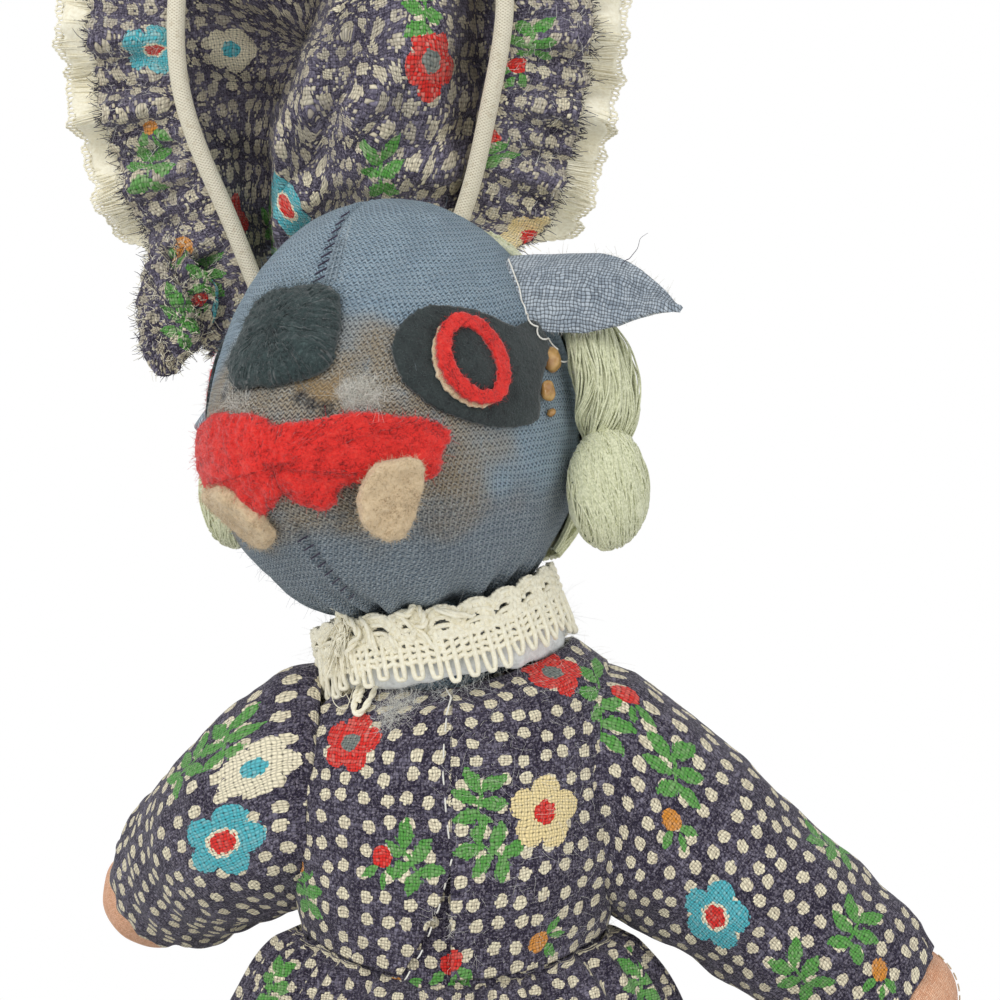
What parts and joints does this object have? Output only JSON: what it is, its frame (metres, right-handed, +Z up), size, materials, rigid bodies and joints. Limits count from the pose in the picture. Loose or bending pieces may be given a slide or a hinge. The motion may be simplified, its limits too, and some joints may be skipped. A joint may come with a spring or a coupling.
{
  "type": "rag doll",
  "caption": "Stuffed cloth doll with a knitted animal head, felt face and thrown-back bonnet, in a gathered floor-length cotton dress with a crocheted collar",
  "frame": {"origin": "on the ground, at the middle of the skirt's hem", "axes": "+Z up, the doll's front faces -Y, its left hand is at +X"},
  "size_m": [0.1836, 0.184, 0.371],
  "materials": {
    "grey_knit": "dull ribbed stocking knit",
    "print_cotton": "dull woven cotton, printed with small flowers",
    "red_felt": "matt felt",
    "dark_felt": "matt felt",
    "cream_felt": "matt felt",
    "cream_lace": "crochet cotton",
    "elastic": "braided elastic cord",
    "floss": "silky floss",
    "peach_cotton": "plain woven cotton",
    "ear_weave": "coarse two-tone weave",
    "wadding": "loose fibre"
  },
  "bodies": {
    "torso": {"torso_core": "print_cotton", "bodice_front_left": "print_cotton", "bodice_front_right": "print_cotton", "bodice_back": "print_cotton", "skirt_front": "print_cotton", "skirt_back": "print_cotton", "lace_collar": "cream_lace", "neck_wadding": "wadding"},
    "neck": {"neck_core": "grey_knit"},
    "head": {"head_ball": "grey_knit", "nose_pad": "dark_felt", "mouth_felt": "red_felt", "hair_cap": "floss", "tooth_left": "cream_felt", "eye_patch_left": "dark_felt", "eye_backing_left": "cream_felt", "eye_ring_left": "red_felt", "eye_pupil_left": "dark_felt", "hair_roll_left": "floss", "hair_bun_left": "floss", "tooth_right": "cream_felt", "eye_patch_right": "dark_felt", "eye_backing_right": "cream_felt", "eye_ring_right": "red_felt", "eye_pupil_right": "dark_felt", "hair_roll_right": "floss", "hair_bun_right": "floss"},
    "left_ear": {"ear_left": "ear_weave"},
    "right_ear": {"ear_right": "ear_weave"},
    "bonnet": {"bonnet_crown": "print_cotton", "bonnet_ruffle": "print_cotton", "bonnet_lace": "cream_lace", "bonnet_elastic": "elastic"},
    "left_arm": {"arm_left": "peach_cotton", "sleeve_left": "print_cotton"},
    "right_arm": {"arm_right": "peach_cotton", "sleeve_right": "print_cotton"},
    "left_leg": {"leg_left": "peach_cotton"},
    "right_leg": {"leg_right": "peach_cotton"}
  },
  "joints": [
    {"name": "neck_turn", "type": "hinge", "parent": "torso", "child": "neck", "pos_m": [-0.0061, 0, 0.2192], "axis": [-0.1219, 0, 0.9925], "range_deg": [-30, 60], "stiffness_Nm_per_rad": 0.05},
    {"name": "head_nod", "type": "hinge", "parent": "neck", "child": "head", "pos_m": [-0.0061, 0, 0.2192], "axis": [0.8508, -0.515, 0.1045], "range_deg": [-9, 7], "stiffness_Nm_per_rad": 0.3},
    {"name": "ear_left_fold", "type": "hinge", "parent": "head", "child": "left_ear", "pos_m": [0.0088, -0.0104, 0.2661], "axis": [-0.0621, -0.5947, -0.8016], "range_deg": [-6, 30], "stiffness_Nm_per_rad": 0.0005},
    {"name": "ear_right_fold", "type": "hinge", "parent": "head", "child": "right_ear", "pos_m": [-0.0302, 0.0132, 0.2613], "axis": [0.1793, -0.7245, -0.6655], "range_deg": [-20, 4], "stiffness_Nm_per_rad": 0.0005},
    {"name": "bonnet_tilt", "type": "hinge", "parent": "head", "child": "bonnet", "pos_m": [-0.0205, 0.0388, 0.2512], "axis": [-1, 0, 0], "range_deg": [-1, 40], "stiffness_Nm_per_rad": 0.03},
    {"name": "shoulder_left", "type": "hinge", "parent": "torso", "child": "left_arm", "pos_m": [0.031, 0, 0.1795], "axis": [0, -1, 0], "range_deg": [-10, 30], "stiffness_Nm_per_rad": 0.1},
    {"name": "shoulder_right", "type": "hinge", "parent": "torso", "child": "right_arm", "pos_m": [-0.031, 0, 0.1795], "axis": [0.8746, 0.4848, 0], "range_deg": [-14, 28], "stiffness_Nm_per_rad": 0.1},
    {"name": "hip_left", "type": "hinge", "parent": "torso", "child": "left_leg", "pos_m": [0.0145, 0, 0.141], "axis": [1, 0, 0], "range_deg": [-20, 20]},
    {"name": "hip_right", "type": "hinge", "parent": "torso", "child": "right_leg", "pos_m": [-0.0145, 0, 0.141], "axis": [1, 0, 0], "range_deg": [-20, 20]}
  ]
}
